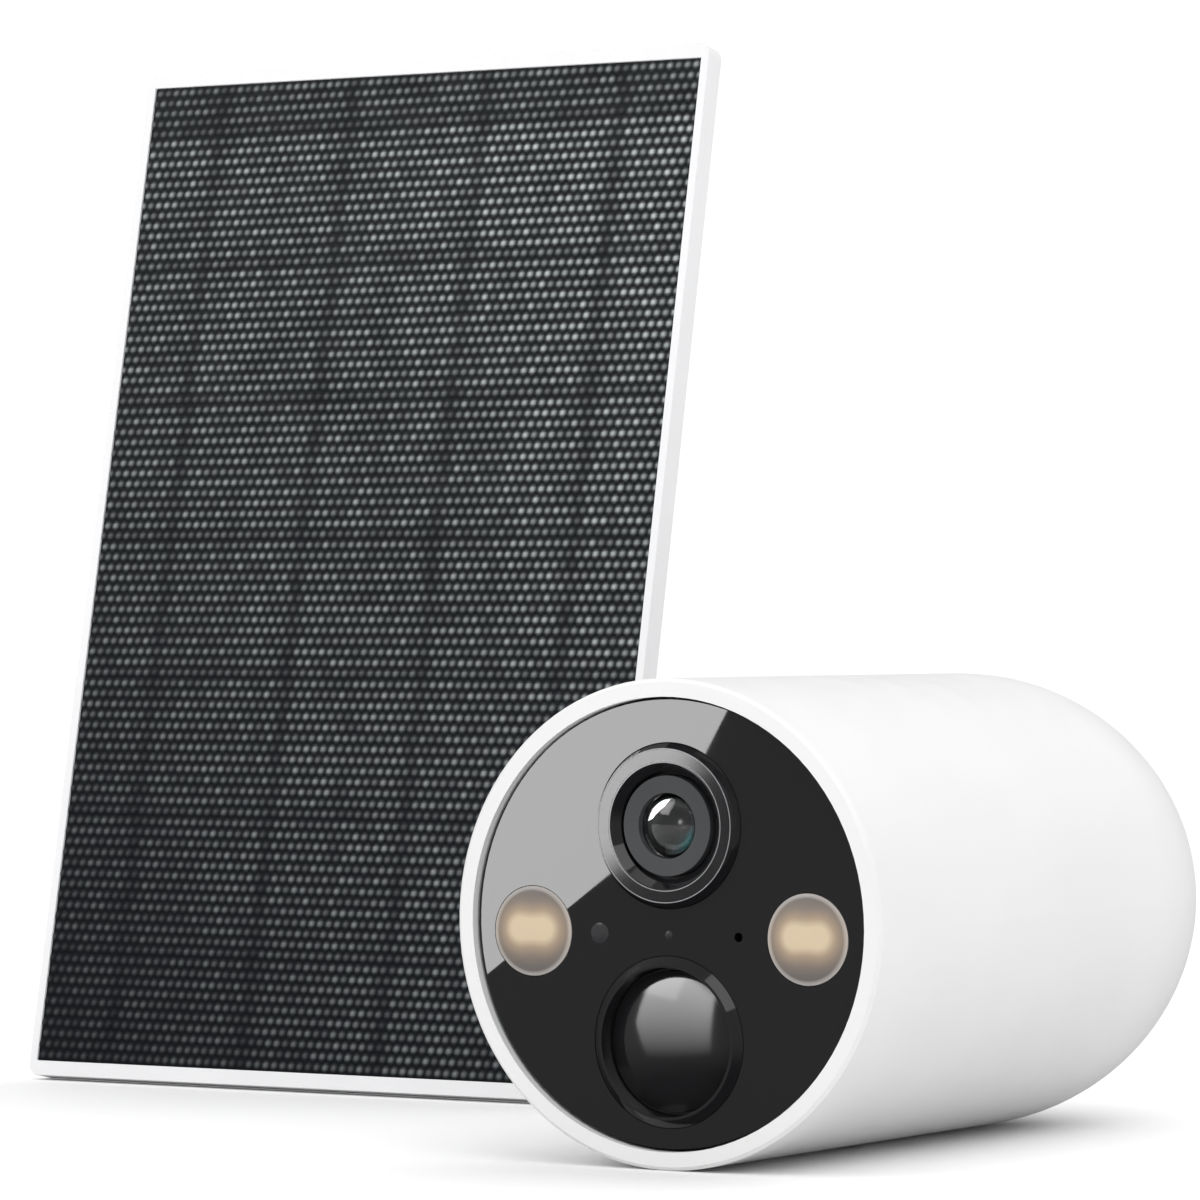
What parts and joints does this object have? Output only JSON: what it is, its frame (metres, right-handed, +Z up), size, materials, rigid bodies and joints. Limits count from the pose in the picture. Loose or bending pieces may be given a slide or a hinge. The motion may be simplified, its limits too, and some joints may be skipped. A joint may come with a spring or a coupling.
{
  "type": "solar-powered security camera",
  "caption": "Cylindrical battery security camera with a domed rear and a black round face, beside a solar panel that tilts and swivels on its wall bracket.",
  "frame": {"origin": "middle of the footprint of the camera, panel and bracket together, on the floor", "axes": "+Z up; the camera and the panel face -Y; +X from the panel towards the camera"},
  "size_m": [0.204, 0.1646, 0.1664],
  "materials": {
    "white_shell": "satin white",
    "black_glass": "high gloss black",
    "black_plastic": "matt black",
    "gloss_black": "gloss black",
    "grey_plastic": "matt grey",
    "anodised_grey": "anodised grey",
    "clear_glass": "coated lens glass",
    "frosted_window": "frosted, slightly translucent",
    "filter_glass": "polished",
    "silicon": "dark blue-black",
    "film": "textured clear film over black",
    "ribbon": "tinned",
    "steel": "plated",
    "brass": "turned",
    "rubber": "soft grey-black",
    "circuit_board": "solder mask green",
    "battery_wrap": "shrink wrap",
    "white_reflector": "gloss white",
    "light_chip": "phosphor"
  },
  "bodies": {
    "camera": {"camera_shell": "white_shell", "front_carrier": "black_plastic", "carrier_seal": "rubber", "carrier_screws": "steel", "front_glass": "black_glass", "lens_bezel": "gloss_black", "lens_barrel": "anodised_grey", "lens_front_element": "clear_glass", "lens_rear_element": "clear_glass", "lens_holder": "black_plastic", "image_sensor": "gloss_black", "sensor_board": "circuit_board", "spotlight_window_left": "frosted_window", "spotlight_window_right": "frosted_window", "spotlight_reflectors": "white_reflector", "spotlight_leds": "light_chip", "spotlight_boards": "anodised_grey", "pir_ring": "gloss_black", "pir_lens": "gloss_black", "pir_sensor": "steel", "light_sensor_window": "grey_plastic", "status_light_pipe": "clear_glass", "status_led": "light_chip", "microphone": "steel", "front_board": "circuit_board", "chassis": "grey_plastic", "chassis_screws": "steel", "main_board": "circuit_board", "processor_shield": "steel", "wifi_antenna": "circuit_board", "battery_cells": "battery_wrap", "speaker": "black_plastic", "charge_socket": "steel", "card_socket": "steel", "tact_switches": "black_plastic", "port_hinge_pin": "steel", "tripod_insert": "brass"},
    "port_cover": {"port_cover": "white_shell", "port_seal": "rubber"},
    "power_button": {"power_button": "grey_plastic"},
    "reset_button": {"reset_button": "grey_plastic"},
    "ir_filter": {"ir_cut_filter": "filter_glass"},
    "bracket_base": {"wall_plate": "white_shell", "swivel_washer": "rubber"},
    "arm": {"bracket_arm": "white_shell", "swivel_bolt": "steel", "tilt_bolt": "steel", "tilt_washers": "rubber"},
    "panel": {"panel_frame": "white_shell", "panel_backing": "black_plastic", "solar_cells": "silicon", "cell_ribbons": "ribbon", "panel_film": "film", "rear_housing": "white_shell", "charge_board": "circuit_board", "cable_gland": "rubber", "panel_screws": "steel", "tilt_lug": "white_shell"},
    "knob": {"tilt_knob": "grey_plastic"}
  },
  "joints": [
    {"name": "port_cover_swing", "type": "hinge", "parent": "camera", "child": "port_cover", "pos_m": [0.03631, -0.01914, 0.0362], "axis": [0, -1, 0], "range_deg": [0, 90]},
    {"name": "power_button_press", "type": "slide", "parent": "camera", "child": "power_button", "axis": [1, 0, 0], "range_m": [0, 0.0005], "stiffness_N_per_m": 1000},
    {"name": "reset_button_press", "type": "slide", "parent": "camera", "child": "reset_button", "axis": [1, 0, 0], "range_m": [0, 0.0005], "stiffness_N_per_m": 1000},
    {"name": "ir_filter_slide", "type": "slide", "parent": "camera", "child": "ir_filter", "axis": [1, 0, 0], "range_m": [0, 0.004]},
    {"name": "bracket_lift", "type": "slide", "parent": "camera", "child": "bracket_base", "axis": [0, 0, 1], "range_m": [0, 0.1]},
    {"name": "arm_swivel", "type": "hinge", "parent": "bracket_base", "child": "arm", "pos_m": [-0.0475, 0.05434, 0], "axis": [0, 0, 1], "continuous": true},
    {"name": "panel_tilt", "type": "hinge", "parent": "arm", "child": "panel", "pos_m": [-0.0475, 0.04234, 0.07855], "axis": [-1, 0, 0], "range_deg": [0, 70]},
    {"name": "tilt_knob_turn", "type": "hinge", "parent": "arm", "child": "knob", "pos_m": [-0.0475, 0.04234, 0.07855], "axis": [1, 0, 0], "continuous": true}
  ]
}
